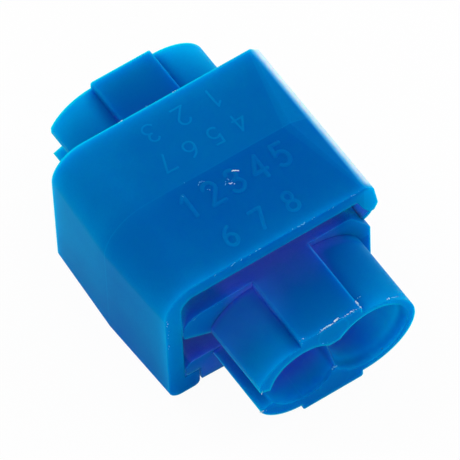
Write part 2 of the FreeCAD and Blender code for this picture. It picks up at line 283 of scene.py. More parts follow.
class ShaderTree(NodeTree):
    """The node tree of one material, with places in mm from the middle of the moulding."""

    # A Mix node has sockets for every type of value. These are the places of its
    # factor and its two colours, and of the mixed colour.
    MIX_INPUTS = (0, 6, 7)
    MIX_RESULT = 2

    def __init__(self, name: str, datum: Datum) -> None:
        """Starts the material.

        Args:
            name: Name of the material.
            datum: Middle of the moulding.
        """
        self.material = bpy.data.materials.new(name)
        self.material.use_nodes = True
        super().__init__(self.material.node_tree)
        place = self.add("TexCoord").outputs["Object"]
        offset = tuple(-value / MM for value in datum.origin)
        mapping = self.add("Mapping", Vector=place, Scale=(1 / MM,) * 3, Location=offset)
        self.point = mapping.outputs["Vector"]
        self.x, self.y, self.z = self.add("SeparateXYZ", Vector=self.point).outputs

    def step(self, value: object, low: float, high: float) -> Socket:
        """Adds a smooth rise.

        Args:
            value: Socket that is read.
            low: Where the result is 0, which may be above high.
            high: Where the result is 1.

        Returns:
            The socket with the result.
        """
        (least, first), (most, last) = sorted(((low, 0.0), (high, 1.0)))
        ends = {"From_Min": least, "From_Max": most, "To_Min": first, "To_Max": last}
        node = self.add("MapRange", Value=value, **ends)
        node.interpolation_type = "SMOOTHSTEP"
        return node.outputs["Result"]

    def noise(self, scale: float, detail: float = 2.0, roughness: float = 0.5) -> Socket:
        """Adds a noise with scale features per mm and returns its value."""
        values = {"Scale": scale, "Detail": detail, "Roughness": roughness}
        return self.add("TexNoise", Vector=self.point, **values).outputs["Fac"]

    def openness(self, reach: float, inside: bool = False, rays: int = 12) -> Socket:
        """Adds an occlusion test.

        Args:
            reach: How far it looks, in mm.
            inside: Whether it looks into the wall and not out of it.
            rays: In how many directions it looks at a time.

        Returns:
            A socket that is 1 where nothing lies within reach.
        """
        node = self.add("AmbientOcclusion", Distance=reach * MM)
        node.samples = rays
        node.inside = inside
        node.only_local = inside
        return node.outputs["AO"]

    def distance(self, x: float, z: float, wide: float = 1.0, high: float = 1.0) -> Socket:
        """Adds the distance from a line that runs the way of the wires.

        Args:
            x: Where the line runs.
            z: Height of the line.
            wide: What counts as 1 sideways.
            high: What counts as 1 upwards.

        Returns:
            The socket with the distance.
        """
        squares = []
        for axis, middle, unit in ((self.x, x, wide), (self.z, z, high)):
            share = self.math("DIVIDE", self.math("SUBTRACT", axis, middle), unit)
            squares.append(self.math("POWER", share, 2.0))
        return self.math("SQRT", self.total(*squares))

    def ramp(self, value: object, stops: dict[float, Colour]) -> Socket:
        """Adds a colour ramp.

        Args:
            value: Socket that picks the colour.
            stops: Colours by their place on the ramp.

        Returns:
            The socket with the colour.
        """
        node = self.add("ValToRGB", Fac=value)
        places = sorted(stops)
        elements = node.color_ramp.elements
        elements[0].position, elements[1].position = places[0], places[-1]
        for place in places[1:-1]:
            elements.new(place)
        for element, place in zip(elements, places):
            element.color = (*stops[place], 1.0)
        return node.outputs["Color"]

    def blend(self, factor: object, first: object, second: object) -> Socket:
        """Adds a colour mix.

        Args:
            factor: Socket or number, 0 for the first colour and 1 for the second.
            first: Socket or colour.
            second: Socket or colour.

        Returns:
            The socket with the mixed colour.
        """
        node = self.add("Mix")
        node.data_type = "RGBA"
        for place, value in zip(self.MIX_INPUTS, (factor, first, second)):
            self.feed(node.inputs[place], value)
        return node.outputs[self.MIX_RESULT]

    def bump(self, height: Socket, depth: float, strength: float) -> Socket:
        """Adds a bump of that depth in mm and returns the bent normal."""
        node = self.add("Bump", Height=height, Distance=depth * MM, Strength=strength)
        return node.outputs["Normal"]

    def surface(self, **values: object) -> Material:
        """Closes the tree with a Principled shader.

        Args:
            values: The shader's values or sockets, as add takes them.

        Returns:
            The material.
        """
        shader = self.add("BsdfPrincipled", **values)
        self.add("OutputMaterial", Surface=shader.outputs["BSDF"])
        return self.material


@dataclass(frozen=True)
class Zone:
    """Where on a moulding a tone shows, and how strongly; most tones are painted light or shade.

    A span is a measure of the moulding and the two values, in mm, between which
    the tone rises smoothly from nothing to its gain. The rises of several spans
    are multiplied. The measures are x, y and z, out for the distance from mid
    length, side for that from the middle plane, gap for that from the open end,
    and those that a finish adds. With a fade, the tone also dies away from the
    open end, over about that many mm.
    """

    gain: float = 1.0
    spans: tuple[Span, ...] = ()
    fade: float = 0.0


class MouldingTree(ShaderTree):
    """The node tree of a moulded piece, with the measures that its zones read."""

    def __init__(self, name: str, datum: Datum, end: float) -> None:
        """Starts the material.

        Args:
            name: Name of the material.
            datum: Middle of the moulding.
            end: Distance of the piece's open ends from mid length, in mm.
        """
        super().__init__(name, datum)
        out = self.math("ABSOLUTE", self.y)
        self.measures = {
            "x": self.x,
            "y": self.y,
            "z": self.z,
            "out": out,
            "side": self.math("ABSOLUTE", self.x),
            "gap": self.math("SUBTRACT", end, out),
        }

    def zone(self, zone: Zone) -> Socket:
        """Adds one zone.

        Args:
            zone: The zone.

        Returns:
            A socket that is the zone's gain in it and 0 elsewhere.
        """
        parts = [self.step(self.measures[name], low, high) for name, low, high in zone.spans]
        if zone.fade:
            power = self.math("DIVIDE", self.measures["gap"], -zone.fade)
            parts.append(self.math("EXPONENT", power))
        return self.product(*parts, zone.gain)

    def zones(self, zones: dict[str, Zone]) -> Socket:
        """Adds up several zones."""
        return self.total(*(self.zone(zone) for zone in zones.values()))


@dataclass(frozen=True)
class Polypropylene:
    """Blue translucent polypropylene, with violet painted shade inside and paler painted light."""

    # Tones from violet painted shade to pale cyan painted light, picked by painted light.
    tones: dict[float, Colour] = field(default_factory=lambda: {
        0.0: shade(70, 96, 216),
        0.12: shade(38, 90, 194),
        0.28: shade(0, 90, 172),
        0.5: shade(0, 106, 178),
        0.7: shade(0, 126, 192),
        1.0: shade(0, 156, 216),
    })
    # Painted shade: the colour that hollows turn to, by how closed in they are, and how strongly.
    deep: Colour = shade(104, 152, 238)
    deep_from: float = 0.34
    deep_to: float = 0.06
    deep_share: float = 0.9
    roughness: float = 0.42
    specular: float = 0.006
    glint: Colour = (0.1, 0.45, 1.0)
    depth: float = 2.5
    spread: Colour = (0.1, 0.6, 1.0)
    mottle_scale: float = 0.45
    mottle: float = 0.05
    grain_scale: float = 6.0
    grain_detail: float = 3.0
    grain: float = 0.045
    grain_depth: float = 0.012
    grain_strength: float = 0.5
    # Painted shade in hollows and painted light on thin edges.
    hollow_reach: float = 7.0
    hollow_shade: float = 0.45
    edge_reach: float = 0.6
    edge_light: float = 0.03

    @staticmethod
    def centred(tree: ShaderTree, noise: Socket, swing: float) -> Socket:
        """Noise moved to swing by that much to each side of zero."""
        return tree.product(tree.math("SUBTRACT", noise, 0.5), 2 * swing)

    def shared(self, tree: ShaderTree, openness: Socket) -> Socket:
        """Adds for every moulded piece: painted hollow shade, painted edge light, mottle and
        grain.

        Args:
            tree: Tree of the material.
            openness: How open each place is.

        Returns:
            The socket with their tone.
        """
        thin = tree.math("SUBTRACT", 1.0, tree.openness(self.edge_reach, inside=True))
        grain = tree.noise(self.grain_scale, self.grain_detail)
        return tree.total(
            tree.product(tree.math("SUBTRACT", openness, 1.0), self.hollow_shade),
            tree.product(thin, self.edge_light),
            self.centred(tree, tree.noise(self.mottle_scale), self.mottle),
            self.centred(tree, grain, self.grain),
        )

    def close(
        self, tree: ShaderTree, colour: Socket, openness: Socket, deep: Socket | Colour,
    ) -> Material:
        """Closes a plastic material.

        Args:
            tree: Tree of the material.
            colour: Colour of the plastic in the open, with its painted light and shade.
            openness: How open each place is.
            deep: The painted shade that the colour turns to deep in the hollows.

        Returns:
            The material.
        """
        # Painted shade: deep in the hollows the colour turns to the deep tone.
        painted_shade_share = tree.product(tree.step(openness, self.deep_from, self.deep_to), self.deep_share)
        grain = tree.noise(self.grain_scale, self.grain_detail)
        return tree.surface(
            Base_Color=tree.blend(painted_shade_share, colour, deep),
            Roughness=self.roughness,
            Specular_IOR_Level=self.specular,
            Specular_Tint=self.glint,
            Subsurface_Weight=1.0,
            Subsurface_Radius=self.spread,
            Subsurface_Scale=self.depth * MM,
            Normal=tree.bump(grain, self.grain_depth, self.grain_strength),
        )


STUBS: tuple[Span, ...] = (("out", 7.1, 7.6), ("out", 12.98, 12.9))
STUB_SIDES: Span = ("side", 2.3, 3.6)
FAR_STUB: Span = ("y", 6.0, 9.0)
BLOCK_FACES: tuple[Span, ...] = (("out", 7.2, 7.0), ("lip", 1.12, 1.25))


@dataclass(frozen=True)
class HousingPlastic(Polypropylene):
    """Finish of the block and its stubs, with painted light at their open ends."""

    end: float = 13.0
    # The tone and the light zones paint light and shade by place, and pick the ramp colour.
    tone: float = 0.3
    light: dict[str, Zone] = field(default_factory=lambda: {
        "open ends": Zone(0.32, fade=1.9),
        "far open end": Zone(0.2, (FAR_STUB,), fade=1.5),
        "end faces": Zone(-0.1, (("out", 12.92, 12.99),)),
        "tap side": Zone(0.14, (("x", 1.0, 7.0),)),
        "hinge side": Zone(0.18, (("x", 5.5, 8.5),)),
        "run sides of the stubs": Zone(0.1, (("x", -1.0, -4.0), *STUBS)),
        "undersides of the stubs": Zone(0.2, (("z", 1.0, -3.0), *STUBS)),
        "sides of the stubs": Zone(0.12, (STUB_SIDES, *STUBS)),
        "sides of the far stub": Zone(0.14, (STUB_SIDES, FAR_STUB)),
    })
    lip_middle: float = -0.15
    # Painted light beside the jaws and the shoulder, with paler colours in place of hollow shade.
    flanks: dict[str, Zone] = field(default_factory=lambda: {
        "jaws": Zone(1.0, (("x", -3.8, -5.2), *BLOCK_FACES)),
        "shoulder": Zone(1.0, (("x", 4.5, 6.0), *BLOCK_FACES)),
    })
    flank_light: float = 0.14
    flank_lower: Zone = Zone(1.0, (("z", -0.6, -1.1),))
    deep_above: Colour = shade(30, 206, 252)
    deep_below: Colour = shade(26, 142, 216)
    bores: tuple[Point, ...] = ((-2.3, 2.8), (3.1, 2.7))
    bore_skin: Point = (0.25, 0.08)
    bore_rim: Zone = Zone(1.0, (("gap", 0.05, 0.45),))
    # Painted light at the channel mouths, more on the right wall; violet painted shade further in.
    bore_mouth: Colour = shade(0, 142, 214)
    bore_right: Colour = shade(0, 176, 222)
    bore_right_wall: Zone = Zone(1.0, (("x", 3.2, 5.4),))
    bore_inner_shade: Colour = shade(60, 100, 232)
    bore_inner_end: Zone = Zone(1.0, (("gap", 0.8, 3.2), ("x", 4.5, 1.0)))
    # Painted shade on the ridge between the two channels.
    ridge: tuple[float, float, float, float] = (0.36, -0.9, 0.5, 1.0)
    ridge_edge: Point = (1.0, 0.4)
    ridge_shade: Colour = shade(20, 106, 192)
    # Painted light, pale violet, on the run side of the near stub next to the block.
    run_stub_light: Colour = shade(64, 150, 255)
    run_stub_light_zone: Zone = Zone(0.18, (("x", -0.5, -2.5), ("y", -7.0, -7.4), ("gap", 1.5, 4.5)))
    pins: tuple[Point, ...] = ((0.15, 3.2), (0.15, -2.85))
    pin_radius: float = 1.2
    pin_line: Point = (0.12, 0.02)
    pin_face: Zone = Zone(0.08, (("y", -12.9, -12.98),))

    def pin_marks(self, tree: MouldingTree) -> Socket:
        """Adds the faint rings that the ejector pins leave on the near end face.

        Args:
            tree: Tree of the material.

        Returns:
            The socket with their tone.
        """
        rings = []
        for pin in self.pins:
            off = tree.math("SUBTRACT", tree.distance(*pin), self.pin_radius)
            rings.append(tree.step(tree.math("ABSOLUTE", off), *self.pin_line))
        return tree.product(tree.largest(*rings), tree.zone(self.pin_face))

    def bore_walls(self, tree: MouldingTree) -> Socket:
        """Adds a mask of the walls of the two channels.

        Args:
            tree: Tree of the material.

        Returns:
            A socket that is 1 on the walls.
        """
        outer, inner = self.bore_skin
        walls = (
            tree.step(tree.distance(x, 0.0), radius + outer, radius + inner)
            for x, radius in self.bores
        )
        return tree.product(tree.largest(*walls), tree.zone(self.bore_rim))

    def bore_colour(self, tree: MouldingTree) -> Socket:
        """Adds the channels' painted colour, lit at the mouths and shaded violet further in.

        Args:
            tree: Tree of the material.

        Returns:
            The socket with the colour.
        """
        # Painted light on the right wall, violet painted shade further in, painted shade on the
        # ridge.
        colour = tree.blend(tree.zone(self.bore_right_wall), self.bore_mouth, self.bore_right)
        colour = tree.blend(tree.zone(self.bore_inner_end), colour, self.bore_inner_shade)
        ridge = tree.step(tree.distance(*self.ridge), *self.ridge_edge)
        return tree.blend(ridge, colour, self.ridge_shade)

    def material(self, datum: Datum) -> Material:
        """Builds the finish.

        Args:
            datum: Middle of the moulding.

        Returns:
            The material of the housing.
        """
        tree = MouldingTree("blue_housing", datum, self.end)
        above_lip = tree.math("SUBTRACT", tree.z, self.lip_middle)
        tree.measures["lip"] = tree.math("ABSOLUTE", above_lip)
        openness = tree.openness(self.hollow_reach)
        flanks = tree.zones(self.flanks)
        # Painted light and shade by place, and the faint pin marks, pick the colour on the ramp.
        light = tree.total(
            self.tone,
            tree.zones(self.light),
            tree.product(flanks, self.flank_light),
            self.pin_marks(tree),
            self.shared(tree, openness),
        )
        outside = tree.ramp(light, self.tones)
        # The channels and the run stub get their painted light and shade.
        colour = tree.blend(self.bore_walls(tree), outside, self.bore_colour(tree))
        colour = tree.blend(tree.zone(self.run_stub_light_zone), colour, self.run_stub_light)
        # By the jaws and the shoulder, paler colours are painted in place of the hollow shade.
        flank_deep = tree.blend(tree.zone(self.flank_lower), self.deep_above, self.deep_below)
        return self.close(tree, colour, openness, tree.blend(flanks, self.deep, flank_deep))


SLOPES: tuple[Span, ...] = (("x", -6.0, -4.2), ("z", 7.0, 7.4))
ROUND_SIDE: Span = ("x", -4.2, -6.0)
# Where the painted highlight strip and the painted light beside it lie, above the hinge.
STRIP: tuple[Span, ...] = (("z", 6.7, 7.1), ("y", -7.0, -6.2))


@dataclass(frozen=True)
class CoverPlastic(Polypropylene):
    """Finish of the cover, with a painted highlight strip above its hinge."""

    end: float = 7.05
    # The tone and the light zones paint light and shade by place, and pick the ramp colour.
    tone: float = 0.37
    light: dict[str, Zone] = field(default_factory=lambda: {
        "ends": Zone(0.24, fade=0.7),
        "near the ends": Zone(0.14, fade=2.6),
        "end faces": Zone(-0.24, (("out", 6.95, 7.04),)),
        "slopes": Zone(-0.06, SLOPES),
        "far slope": Zone(0.12, (("y", -0.05, 0.05), *SLOPES)),
        "round side": Zone(-0.06, (ROUND_SIDE,)),
        "far round side": Zone(0.12, (("y", -1.8, 1.8), ROUND_SIDE)),
        "towards the side wall": Zone(0.12, (("x", -3.0, -9.0),)),
        "side wall": Zone(0.08, (("x", -7.0, -9.0), ("z", 7.2, 5.0))),
        "beyond the hip": Zone(0.08, (("hip", -0.05, 0.05),)),
        "ridge": Zone(0.08, (("out", 0.08, 0.02),)),
        "bead": Zone(0.3, (("z", 7.6, 7.2), ("x", 5.0, 7.5))),
        "numbers": Zone(0.16, (("proud", 0.0, 0.012),)),
        "tops of the numbers": Zone(-0.06, (("proud", 0.022, 0.045),)),
    })
    # Painted light along the hinge side and a patchy painted white highlight above the hinge.
    hinge_edge_light: Colour = shade(60, 158, 216)
    hinge_edge_light_zone: Zone = Zone(1.0, (*STRIP, ("x", 6.75, 7.05)))
    painted_highlight: Colour = shade(204, 226, 240)
    painted_highlight_zone: Zone = Zone(1.0, (*STRIP, ("x", 6.9, 7.2)))
    highlight_strength: dict[str, Zone] = field(default_factory=lambda: {
        "outer edge": Zone(0.85, (("x", 6.95, 7.45),)),
        "far half": Zone(0.15, (("y", -6.0, 5.0),)),
    })
    highlight_patch_scale: float = 1.1
    highlight_patch_swing: float = 0.25

    def material(self, datum: Datum, roof: Roof) -> Material:
        """Builds the finish.

        Args:
            datum: Middle of the moulding.
            roof: The slopes, whose ridge and hip show in the finish.

        Returns:
            The material of the cover.
        """
        tree = MouldingTree("blue_cover", datum, self.end)
        out = tree.measures["out"]
        beyond_hip = tree.math("SUBTRACT", tree.x, tree.product(out, roof.hip_run))
        tree.measures["hip"] = tree.math("SUBTRACT", beyond_hip, roof.hip_x)
        height = tree.total(tree.z, tree.product(out, math.tan(roof.slope)))
        tree.measures["proud"] = tree.math("SUBTRACT", height, roof.ridge_top)
        openness = tree.openness(self.hollow_reach)
        light = tree.total(self.tone, tree.zones(self.light), self.shared(tree, openness))
        # The painted highlight is strongest at its outer edge and patchy along the strip.
        patches = self.centred(tree, tree.noise(self.highlight_patch_scale), self.highlight_patch_swing)
        highlight_strength = tree.total(tree.zones(self.highlight_strength), patches)
        # Share of the painted highlight at each place.
        pale = tree.math("MULTIPLY", tree.zone(self.painted_highlight_zone), highlight_strength, clamp=True)
        # Painted light along the hinge side, then the painted highlight over it.
        colour = tree.blend(tree.zone(self.hinge_edge_light_zone), tree.ramp(light, self.tones), self.hinge_edge_light)
        return self.close(tree, tree.blend(pale, colour, self.painted_highlight), openness, self.deep)


@dataclass(frozen=True)
class StrapPlastic(Polypropylene):
    """Finish of the strap, with painted light all over because it is so thin."""

    tone: float = 0.6

    def material(self, datum: Datum) -> Material:
        """Builds the finish.

        Args:
            datum: Middle of the moulding.

        Returns:
            The material of the strap.
        """
        tree = ShaderTree("blue_strap", datum)
        openness = tree.openness(self.hollow_reach)
        light = tree.total(self.tone, self.shared(tree, openness))
        return self.close(tree, tree.ramp(light, self.tones), openness, self.deep)


class Tint(Enum):
    """What a scuff or a painted edge highlight shows, as two colours that it varies between."""

    WHITE = (shade(150, 202, 232), shade(214, 232, 242))
    # Pale scuffs, and painted highlights along some edges.
    LIGHT = (shade(0, 128, 200), shade(70, 168, 222))
    DARK = (shade(0, 40, 80), shade(0, 60, 110))


@dataclass(frozen=True)
class ScuffedPlastic:
    """Plastic of trimmed flash, whitened scuffs, trapped specks and painted edge highlights."""

    roughness: float = 0.55
    patch_scale: float = 1.6
    patch_detail: float = 1.0
    patch_edge: Point = (0.35, 0.62)

    def material(self, datum: Datum, tint: Tint) -> Material:
        """Builds the finish of one tint, uneven from burr to burr.

        Args:
            datum: Middle of the moulding.
            tint: The tint.

        Returns:
            The material.
        """
        tree = ShaderTree(f"scuffed_{tint.name.lower()}", datum)
        patch = tree.step(tree.noise(self.patch_scale, self.patch_detail), *self.patch_edge)
        colour = tree.blend(patch, *tint.value)
        return tree.surface(Base_Color=colour, Roughness=self.roughness)


@dataclass(frozen=True)
class TinnedBrass:
    """Stamped brass sheet under a thin tin coat, warm where the coat is rubbed."""

    tin: Colour = shade(172, 171, 166)
    brass: Colour = shade(176, 150, 98)
    roughness: float = 0.32
    uneven: float = 0.16
    rub_noise: tuple[float, float, float] = (1.2, 4.0, 0.6)
    rub_edge: Point = (0.5, 0.68)
    rub_share: float = 0.55
    edge_reach: float = 0.25
    drawn_scale: float = 9.0
    drawn_depth: float = 0.01
    drawn_strength: float = 0.4

    def material(self, datum: Datum) -> Material:
        """Builds the finish.

        Args:
            datum: Middle of the moulding.

        Returns:
            The material of the contact.
        """
        tree = ShaderTree("tinned_brass", datum)
        rubbed = tree.step(tree.noise(*self.rub_noise), *self.rub_edge)
        worn_edge = tree.math("SUBTRACT", 1.0, tree.openness(self.edge_reach, inside=True))
        wear = tree.largest(tree.product(rubbed, self.rub_share), worn_edge)
        drawn = tree.noise(self.drawn_scale)
        return tree.surface(
            Base_Color=tree.blend(wear, self.tin, self.brass),
            Metallic=1.0,
            Roughness=tree.total(self.roughness, tree.product(drawn, self.uneven)),
            Normal=tree.bump(drawn, self.drawn_depth, self.drawn_strength),
        )


class Bench:
    """Modelling operations that the sub-assemblies share."""

    # Turns of an edge: the least that is shaded sharp, the least that is rounded,
    # and the most that still counts as flat.
    SHARP = math.radians(40)
    CORNER = math.radians(28)
    FLAT = math.radians(0.4)
    DOUBLES = 0.002 * MM

    @staticmethod
    def pick(*objects: Piece) -> None:
        """Selects objects alone and makes the first one active.

        Args:
            objects: The objects.
        """
        bpy.ops.object.select_all(action="DESELECT")
        for piece in objects:
            piece.select_set(True)
        bpy.context.view_layer.objects.active = objects[0]

    @classmethod
    @contextmanager
    def edit(cls, piece: Piece) -> Iterator[None]:
        """Opens a piece in edit mode, with all of it selected.

        Args:
            piece: The piece.

        Returns:
            What a with statement needs, at whose end the mode is left.
        """
        cls.pick(piece)
        bpy.ops.object.mode_set(mode="EDIT")
        bpy.ops.mesh.select_all(action="SELECT")
        yield
        bpy.ops.object.mode_set(mode="OBJECT")

    @classmethod
    def modify(cls, piece: Piece, name: str, kind: str, **settings: object) -> None:
        """Puts a modifier on a piece and applies it.

        Args:
            piece: The piece.
            name: Name of the modifier.
            kind: Type of the modifier.
            settings: Its settings by their names.
        """
        cls.pick(piece)
        modifier = piece.modifiers.new(name, kind)
        for setting, value in settings.items():
            setattr(modifier, setting, value)
        bpy.ops.object.modifier_apply(modifier=modifier.name)

    @classmethod
    def merged_copy(cls, node: Piece, name: str) -> Piece:
        """Copies a solid of the frame and turns its loose triangles into faces.

        Args:
            node: The solid.
            name: Name of the new piece.

        Returns:
            The new piece.
        """
        cls.pick(node)
        bpy.ops.object.duplicate()
        piece = bpy.context.view_layer.objects.active
        piece.name = name
        piece.data.name = name
        piece.parent = None
        for key in list(piece.keys()):
            del piece[key]
        piece.data.materials.clear()
        cls.tidy_faces(piece)
        return piece

    @classmethod
    def tidy_faces(cls, piece: Piece) -> None:
        """Merges the doubles of a piece and joins its flat faces.

        Args:
            piece: The piece.
        """
        with cls.edit(piece):
            bpy.ops.mesh.remove_doubles(threshold=cls.DOUBLES)
            bpy.ops.mesh.dissolve_limited(angle_limit=cls.FLAT)

    @classmethod
    def unite(cls, piece: Piece, other: Piece) -> None:
        """Joins a solid to a piece as one closed shell.

        Args:
            piece: The piece.
            other: The solid, which is used up.
        """
        union = {"operation": "UNION", "solver": "EXACT", "object": other}
        cls.modify(piece, "one_moulding", "BOOLEAN", **union)
        bpy.data.objects.remove(other)

    @classmethod
    def smooth(cls, piece: Piece) -> None:
        """Shades a piece smooth apart from its sharp edges."""
        cls.pick(piece)
        bpy.ops.object.shade_smooth_by_angle(angle=cls.SHARP)

    @classmethod
    def even(cls, piece: Piece) -> None:
        """Turns the shading of a smooth piece towards its large flat faces."""
        cls.modify(piece, "even_shading", "WEIGHTED_NORMAL", keep_sharp=True)

    @classmethod
    def soften(cls, piece: Piece, width: float, segments: int) -> None:
        """Rounds the sharp edges of a piece.

        Args:
            piece: The piece.
            width: Width of the rounded edge in mm.
            segments: Facets across the rounded edge.
        """
        cls.modify(
            piece, "soft_edges", "BEVEL", width=width * MM, segments=segments,
            limit_method="ANGLE", angle_limit=cls.CORNER, use_clamp_overlap=True,
        )

    @classmethod
    def join(cls, pieces: list[Piece], name: str) -> Piece:
        """Joins pieces into one object.

        Args:
            pieces: The pieces, or only one.
            name: Name of the object.

        Returns:
            The object.
        """
        cls.pick(*pieces)
        if len(pieces) > 1:
            bpy.ops.object.join()
        piece = bpy.context.view_layer.objects.active
        piece.name = name
        piece.data.name = name
        return piece

    @staticmethod
    def dress(piece: Piece, material: Material, slot: Slot) -> None:
        """Gives a piece its finish.

        Args:
            piece: The piece.
            material: Its only material.
            slot: The slot of the record that it stands for; not used.
        """
        piece.data.materials.clear()
        piece.data.materials.append(material)


@dataclass
class SubAssembly:
    """What every part of the connector is built from."""

    datum: Datum
    nodes: dict[str, Piece]


@dataclass
class HousingMoulding(SubAssembly):
    """The block with its jaws and its two stubs, with the edges softened."""

    edge: float = 0.1
    facets: int = 2
    plastic: HousingPlastic = HousingPlastic()

    def build(self) -> list[Piece]:
        """Builds the housing.

        Returns:
            The piece.
        """
        piece = Bench.merged_copy(self.nodes["housing"], "housing_moulding")
        Bench.soften(piece, self.edge, self.facets)
        Bench.smooth(piece)
        Bench.even(piece)
        Bench.dress(piece, self.plastic.material(self.datum), Slot.PLASTIC)
        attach(piece, Body.HOUSING.value)
        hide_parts("housing")
        return [piece]


@dataclass
class CoverMoulding(SubAssembly):
    """The cover with the hook of its latch, as the one moulding that they are."""

    edge: float = 0.14
    facets: int = 3
    plastic: CoverPlastic = CoverPlastic()

    def build(self) -> list[Piece]:
        """Builds the cover from its solid and that of its latch.

        Returns:
            The piece.
        """
        piece = Bench.merged_copy(self.nodes["cover"], "cover_moulding")
        Bench.unite(piece, Bench.merged_copy(self.nodes["cover_latch"], "latch_part"))
        Bench.tidy_faces(piece)
        Bench.soften(piece, self.edge, self.facets)
        numbers = CoverNumbers(self.datum, Roof())
        numbers.raise_on(piece)
        Bench.smooth(piece)
        numbers.crease(piece)
        Bench.even(piece)
        Bench.dress(piece, self.plastic.material(self.datum, numbers.roof), Slot.PLASTIC)
        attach(piece, Body.COVER.value)
        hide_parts("cover", "cover_latch")
        return [piece]


@dataclass
class HingeStrap(SubAssembly):
    """The thin strap that bends when the cover swings."""

    cuts: int = 16
    plastic: StrapPlastic = StrapPlastic()

    def build(self) -> list[Piece]:
        """Builds the strap with enough loops of edges to bend.

        Returns:
            The piece.
        """
        piece = Bench.merged_copy(self.nodes["living_hinge"], "hinge_strap")
        low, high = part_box("living_hinge")
        with Bench.edit(piece):
            for cut in range(1, self.cuts):
                height = low.z + (high.z - low.z) * cut / self.cuts
                bpy.ops.mesh.select_all(action="SELECT")
                bpy.ops.mesh.bisect(plane_co=(0, 0, height), plane_no=(0, 0, 1))
        Bench.smooth(piece)
        Bench.dress(piece, self.plastic.material(self.datum), Slot.PLASTIC)
        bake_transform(piece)
        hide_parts("living_hinge")
        return [piece]


@dataclass
class Contact(SubAssembly):
    """The folded contact, whose solid only needs its metal."""

    metal: TinnedBrass = TinnedBrass()

    def build(self) -> list[Piece]:
        """Gives the contact its metal."""
        Bench.dress(self.nodes["contact"], self.metal.material(self.datum), Slot.METAL)
        return [self.nodes["contact"]]


@dataclass(frozen=True)
class Line:
    """Straight strokes of a digit from point to point, in shares of its height."""

    points: tuple[Point, ...]
    closed: bool = False

    def runs(self) -> list[list[Point]]:
        """Lists the middle lines of the strokes."""
        return [list(pair) for pair in zip(self.points, self.points[1:])]


@dataclass(frozen=True)
class Arc:
    """A round stroke of a digit, in shares of its height and in degrees."""

    centre: Point
    radii: Point
    sweep: Point
    pitch: float = 15.0

    @property
    def closed(self) -> bool:
        """Whether the arc is a whole turn."""
        return abs(self.sweep[1] - self.sweep[0]) == 360

    def runs(self) -> list[list[Point]]:
        """Lists the middle line of the arc.

        Returns:
            The line alone, without its last point where it closes.
        """
        start, end = self.sweep
        count = round(abs(end - start) / self.pitch)
        turns = [math.radians(start + (end - start) * turn / count) for turn in range(count + 1)]
        (x, y), (wide, high) = self.centre, self.radii
        line = [(x + wide * math.cos(turn), y + high * math.sin(turn)) for turn in turns]
        return [line[:-1] if self.closed else line]


DIGITS: dict[str, tuple[Line | Arc, ...]] = {
    "1": (Line(((0.1, 0.8), (0.3, 1.0), (0.3, 0.0))),),
    "2": (
        Arc((0.27, 0.73), (0.25, 0.27), (165, -30)),
        Line(((0.487, 0.595), (0.02, 0.0), (0.56, 0.0))),
    ),
    "3": (
        Arc((0.25, 0.765), (0.21, 0.235), (150, -90)),
        Arc((0.25, 0.265), (0.27, 0.265), (90, -150)),
    ),
    "4": (Line(((0.42, 0.0), (0.42, 1.0), (0.0, 0.3), (0.56, 0.3))),),
    "5": (
        Line(((0.5, 1.0), (0.12, 1.0), (0.07, 0.546))),
        Arc((0.26, 0.32), (0.27, 0.32), (135, -135)),
    ),
    "6": (
        Arc((0.55, 0.3), (0.53, 0.68), (105, 180)),
        Arc((0.28, 0.29), (0.26, 0.29), (0, 360)),
    ),
    "7": (Line(((0.0, 1.0), (0.54, 1.0), (0.18, 0.0))),),
    "8": (
        Arc((0.27, 0.765), (0.21, 0.235), (0, 360)),
        Arc((0.27, 0.265), (0.27, 0.265), (0, 360)),
    ),
}


@dataclass(frozen=True)
class NumberRow:
    """One row of plain numbers on the top of the cover, in mm."""

    digits: str
    x: float
    y: float
    width: float
    height: float
    facing: Facing
    radius: float
    proud: float


